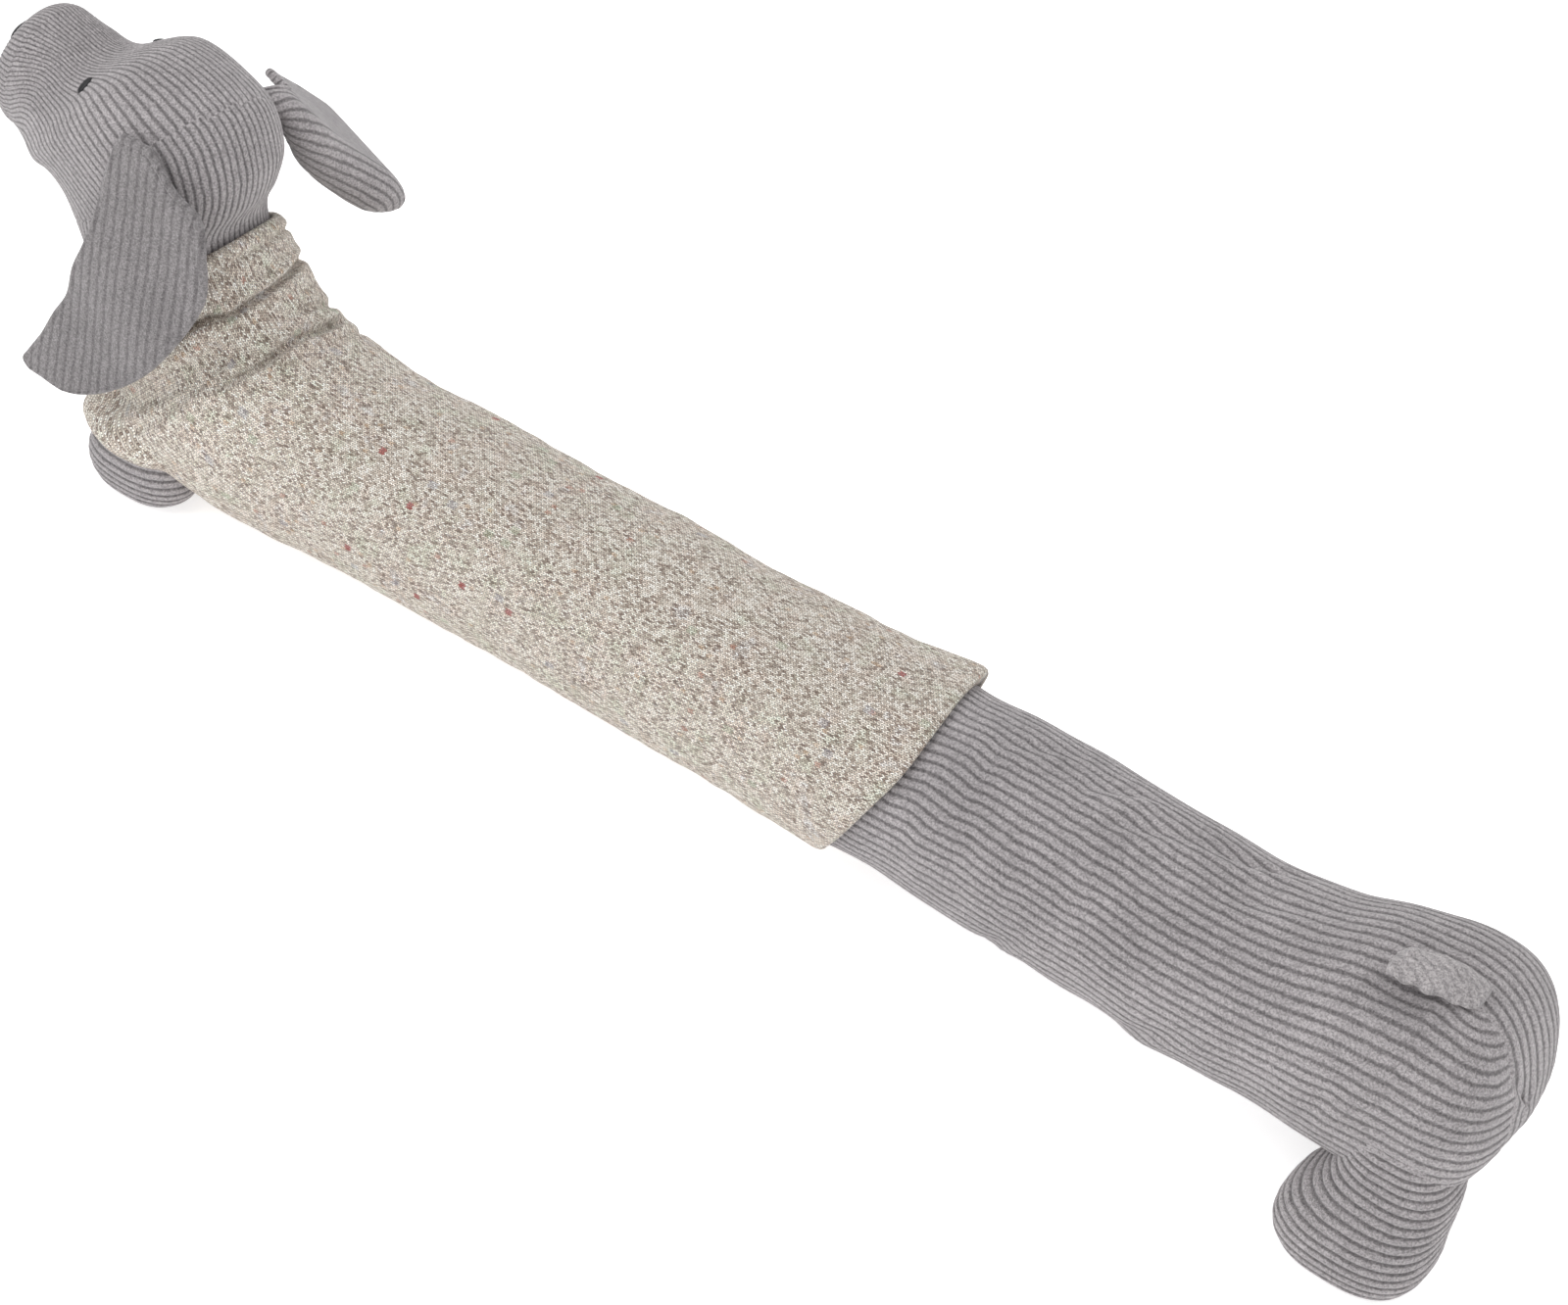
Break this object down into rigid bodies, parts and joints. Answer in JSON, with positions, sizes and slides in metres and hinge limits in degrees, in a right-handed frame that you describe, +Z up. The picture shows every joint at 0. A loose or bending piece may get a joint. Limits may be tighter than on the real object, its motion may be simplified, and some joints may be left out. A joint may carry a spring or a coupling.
{
  "type": "draught excluder",
  "caption": "Long stuffed corduroy dog that lies along the foot of a door, with a raised head, hanging ears and a knitted jumper with a rolled neck.",
  "frame": {"origin": "on the floor plane z = 0, under the middle of the bounding box", "axes": "+X along the body towards the rump, so the head points to -X; the dog's own left side is -Y; +Z up"},
  "size_m": [0.8981, 0.2087, 0.254],
  "materials": {
    "corduroy": "mid-grey wide-wale cotton corduroy",
    "satin_stitch": "black satin-stitched thread",
    "knit": "fine stocking-stitch knit in oatmeal marl with coloured flecks"
  },
  "bodies": {
    "root": {"body": "corduroy", "head": "corduroy", "left_ear": "corduroy", "right_ear": "corduroy", "left_front_paw": "corduroy", "right_front_paw": "corduroy", "tail": "corduroy", "left_eye": "satin_stitch", "right_eye": "satin_stitch", "nose": "satin_stitch", "jumper": "knit"}
  },
  "joints": []
}
